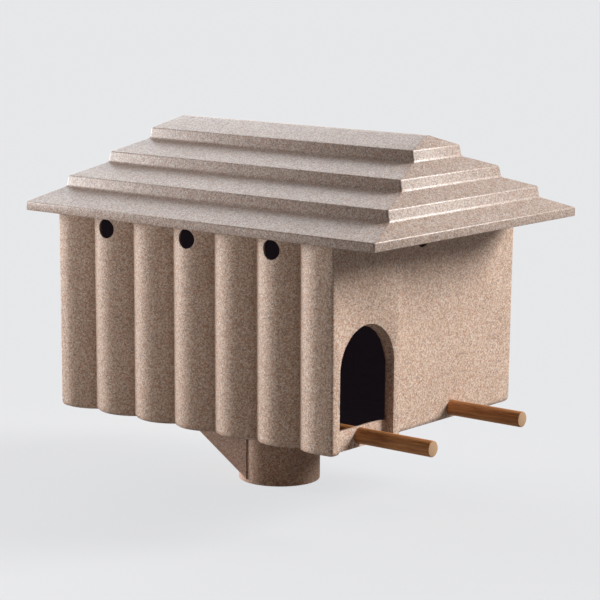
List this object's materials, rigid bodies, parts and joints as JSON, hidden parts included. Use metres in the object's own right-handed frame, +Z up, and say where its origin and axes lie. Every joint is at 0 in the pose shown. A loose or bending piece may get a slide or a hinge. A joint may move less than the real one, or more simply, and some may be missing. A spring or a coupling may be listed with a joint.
{
  "type": "pole-mounted owl nest box",
  "caption": "Moulded plastic owl nest box with ribbed side walls, an arched doorway in a raised surround, wooden perches, a stepped hip roof, round vents and a pole socket underneath.",
  "frame": {"origin": "on the pole socket's axis at its lower rim, where the pole enters", "axes": "+Z up along the socket's axis, -Y towards the doorway end, +X to the right seen by someone facing +Y at the doorway; the long side walls run along Y"},
  "size_m": [0.525, 0.72, 0.568],
  "materials": {
    "roof_plastic": "matte moulded polyethylene with fine granite-like brown, grey and cream speckle",
    "wall_plastic": "matte moulded polyethylene with fine granite-like brown, grey and cream speckle",
    "shade_plastic": "matte moulded polyethylene with fine granite-like brown, grey and cream speckle",
    "perch_wood": "reddish brown stained dowel with pale end grain"
  },
  "bodies": {
    "root": {"eave_course_front": "roof_plastic", "eave_course_back": "roof_plastic", "eave_course_left": "roof_plastic", "eave_course_right": "roof_plastic", "second_course_front": "roof_plastic", "second_course_back": "roof_plastic", "second_course_left": "roof_plastic", "second_course_right": "roof_plastic", "third_course_front": "roof_plastic", "third_course_back": "roof_plastic", "third_course_left": "roof_plastic", "third_course_right": "roof_plastic", "ridge_cap_front": "roof_plastic", "ridge_cap_back": "roof_plastic", "ridge_cap_left": "roof_plastic", "ridge_cap_right": "roof_plastic", "soffit_front": "shade_plastic", "soffit_back": "shade_plastic", "soffit_left": "shade_plastic", "soffit_right": "shade_plastic", "left_wall_bay_1": "wall_plastic", "left_wall_bay_2": "wall_plastic", "left_wall_bay_3": "wall_plastic", "left_wall_bay_4": "wall_plastic", "left_wall_bay_5": "wall_plastic", "left_wall_bay_6": "wall_plastic", "left_wall_bay_7": "wall_plastic", "right_wall_bay_1": "wall_plastic", "right_wall_bay_2": "wall_plastic", "right_wall_bay_3": "wall_plastic", "right_wall_bay_4": "wall_plastic", "right_wall_bay_5": "wall_plastic", "right_wall_bay_6": "wall_plastic", "right_wall_bay_7": "wall_plastic", "back_wall": "wall_plastic", "front_panel": "wall_plastic", "surround_left_jamb": "wall_plastic", "surround_right_jamb": "wall_plastic", "surround_head": "wall_plastic", "door_sill": "wall_plastic", "floor": "wall_plastic", "perch_left": "perch_wood", "perch_right": "perch_wood", "pole_socket": "shade_plastic", "brace": "shade_plastic"}
  },
  "joints": []
}
